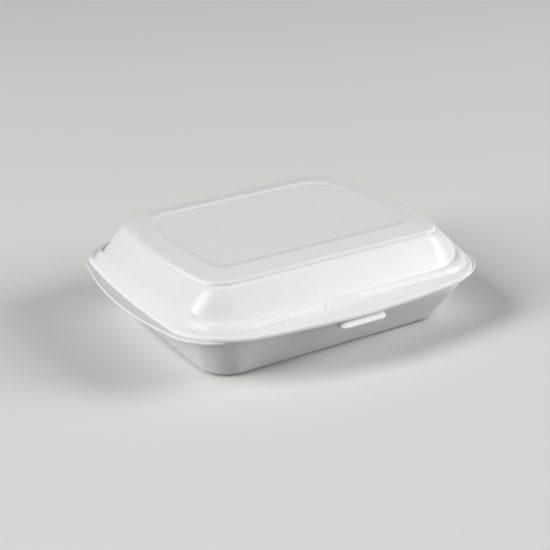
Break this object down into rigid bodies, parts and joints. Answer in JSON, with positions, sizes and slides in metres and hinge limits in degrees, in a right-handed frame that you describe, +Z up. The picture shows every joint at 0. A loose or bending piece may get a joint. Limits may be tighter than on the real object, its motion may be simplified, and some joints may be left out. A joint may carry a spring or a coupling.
{
  "type": "foam clamshell container",
  "caption": "Shallow rectangular foam food box with bowed sides, a flat rim and a hinged domed lid that closes over a front finger tab.",
  "frame": {"origin": "centre of the standing face under the tray", "axes": "+X along the hinge, -Y towards the finger tab, +Z up from the tray to the lid"},
  "size_m": [0.2346, 0.2043, 0.0632],
  "materials": {
    "foam": "smooth white foam sheet with a soft sheen"
  },
  "bodies": {
    "tray": {"base_tray": "foam"},
    "lid": {"lid": "foam"}
  },
  "joints": [
    {"name": "lid_hinge", "type": "hinge", "parent": "tray", "child": "lid", "pos_m": [0, 0.091, 0.0353], "axis": [-1, 0, 0], "range_deg": [0, 180]}
  ]
}
